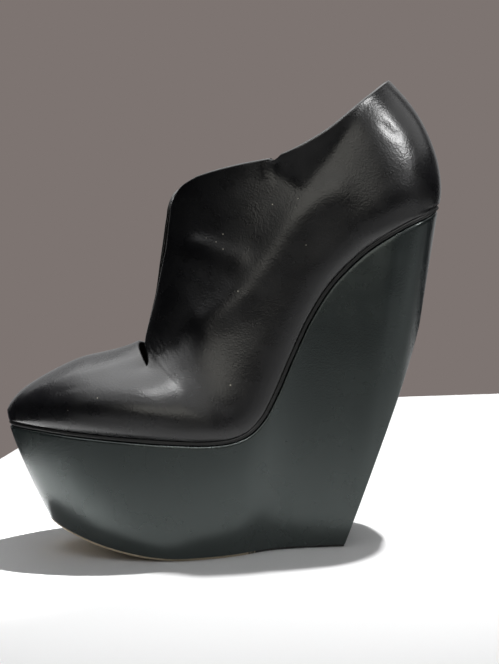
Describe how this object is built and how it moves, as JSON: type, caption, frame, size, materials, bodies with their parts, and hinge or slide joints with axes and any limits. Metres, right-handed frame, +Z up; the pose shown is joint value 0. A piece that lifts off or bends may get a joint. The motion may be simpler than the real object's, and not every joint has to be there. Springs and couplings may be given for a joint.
{
  "type": "wedge shoe",
  "caption": "Black leather ankle shoe, open down the front in a slit, on a tall covered platform wedge with a thin rand, a pale leather sole and a black heel top piece.",
  "frame": {"origin": "on the floor under the middle of the shoe's box", "axes": "+Z up, +X from toe to heel, +Y from the shoe's inner side to its outer side"},
  "size_m": [0.2198, 0.0827, 0.228],
  "materials": {
    "upper": "semi-gloss black calf",
    "rand": "semi-gloss black",
    "insole": "matt black",
    "wedge": "satin black cover over a light block",
    "outsole": "plain pale leather",
    "heel_lift": "matt black"
  },
  "bodies": {
    "root": {"upper": "upper", "rand": "rand", "insole": "insole", "wedge": "wedge", "outsole": "outsole", "heel_lift": "heel_lift"}
  },
  "joints": []
}
